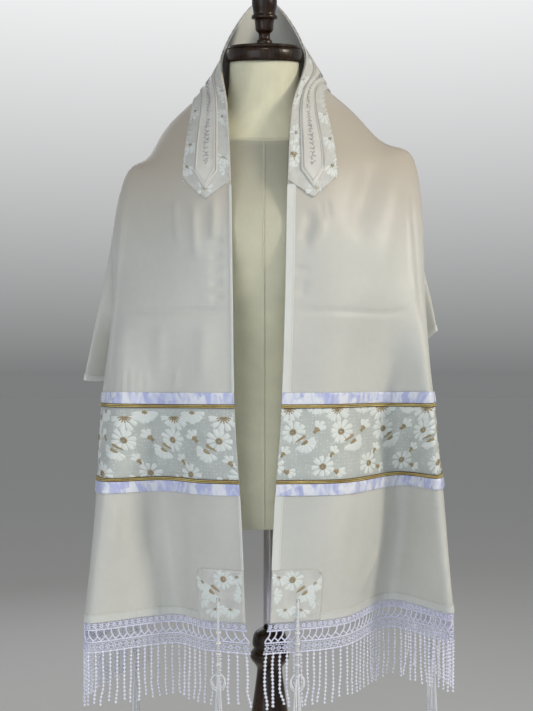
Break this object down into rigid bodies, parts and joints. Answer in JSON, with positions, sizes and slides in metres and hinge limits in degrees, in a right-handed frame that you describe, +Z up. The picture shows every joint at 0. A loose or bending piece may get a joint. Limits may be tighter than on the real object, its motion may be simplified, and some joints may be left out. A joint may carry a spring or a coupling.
{
  "type": "tallit prayer shawl on dress form",
  "caption": "Long cloth prayer shawl with ribbon and floral bands, lace, fringe and corner tassels, worn on a limbless dress form on a turned wooden stand.",
  "frame": {"origin": "centre of the stand base's underside", "axes": "+Z up, front towards -Y, the wearer's left is +X"},
  "size_m": [0.5469, 0.32, 1.5712],
  "materials": {
    "ivory_cloth": "smooth satin-backed crepe",
    "white_satin": "glossy satin ribbon",
    "gold_braid": "metallic braid",
    "floral_jacquard": "sheer ground with woven flowers",
    "white_lace": "crocheted cotton",
    "white_yarn": "twisted wool",
    "cream_linen": "plain woven cover",
    "dark_wood": "stained and varnished",
    "steel": "polished tube"
  },
  "bodies": {
    "root": {"corner_patch_left_inner": "floral_jacquard", "corner_patch_left_outer": "floral_jacquard", "corner_patch_right_inner": "floral_jacquard", "corner_patch_right_outer": "floral_jacquard", "dress_form": "cream_linen", "end_panel_left": "ivory_cloth", "end_panel_right": "ivory_cloth", "finial": "dark_wood", "floral_band_left": "floral_jacquard", "floral_band_right": "floral_jacquard", "fringe_left": "white_lace", "fringe_right": "white_lace", "gold_lower_left": "gold_braid", "gold_lower_right": "gold_braid", "gold_upper_left": "gold_braid", "gold_upper_right": "gold_braid", "lace_left": "white_lace", "lace_right": "white_lace", "neck_cap": "dark_wood", "neckband_ground": "floral_jacquard", "neckband_strip": "white_satin", "satin_lower_left": "white_satin", "satin_lower_right": "white_satin", "satin_upper_left": "white_satin", "satin_upper_right": "white_satin", "stand_base": "dark_wood", "stand_column": "dark_wood", "stand_pole": "steel", "tallit_body": "ivory_cloth", "tzitzit_left_inner": "white_yarn", "tzitzit_left_outer": "white_yarn", "tzitzit_right_inner": "white_yarn", "tzitzit_right_outer": "white_yarn"}
  },
  "joints": []
}
